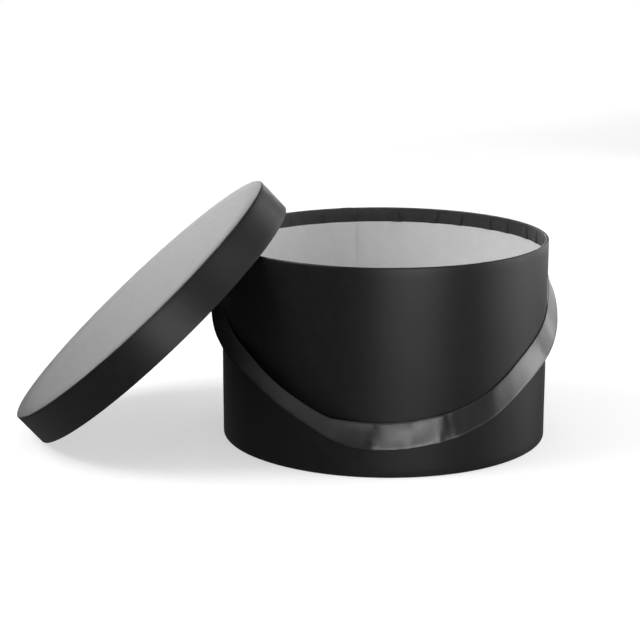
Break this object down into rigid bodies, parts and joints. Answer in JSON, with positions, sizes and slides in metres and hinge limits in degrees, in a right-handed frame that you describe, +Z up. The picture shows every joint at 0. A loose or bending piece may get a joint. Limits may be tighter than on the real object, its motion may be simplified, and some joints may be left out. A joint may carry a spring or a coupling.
{
  "type": "hat box",
  "caption": "Round board box covered in black paper with a white paper lining, a satin ribbon handle swagged round its front, and its lift-off lid leaning on the rim.",
  "frame": {"origin": "centre of the base's underside, on the surface that the box stands on", "axes": "+Z up along the box's axis, -Y towards the front where the ribbon hangs, +X towards the ribbon's right slit, the lid leans on the -X side"},
  "size_m": [0.5001, 0.324, 0.2335],
  "materials": {
    "black_paper": "satin black wrapping paper, slight sheen",
    "white_paper": "matte white lining paper",
    "grey_board": "bare grey board, hidden under the paper",
    "black_satin": "black satin ribbon with woven edges"
  },
  "bodies": {
    "box": {"wall_board": "grey_board", "wall_wrap": "black_paper", "wall_lining": "white_paper", "base_board": "grey_board", "base_lining": "white_paper", "base_paper": "black_paper", "ribbon_tail_left": "black_satin", "ribbon_tail_right": "black_satin", "anchor_patch_left": "white_paper", "anchor_patch_right": "white_paper"},
    "handle": {"handle_ribbon": "black_satin"},
    "lid": {"lid_skirt_board": "grey_board", "lid_top_board": "grey_board", "lid_skirt_wrap": "black_paper", "lid_top_paper": "black_paper", "lid_skirt_lining": "black_paper", "lid_top_lining": "black_paper"}
  },
  "joints": [
    {"name": "handle_swing", "type": "hinge", "parent": "box", "child": "handle", "pos_m": [0, 0, 0.15], "axis": [-1, 0, 0], "range_deg": [0, 40]},
    {"name": "lid_lift", "type": "slide", "parent": "box", "child": "lid", "axis": [-0.6731, -0.0577, 0.7373], "range_m": [0, 0.2]}
  ]
}
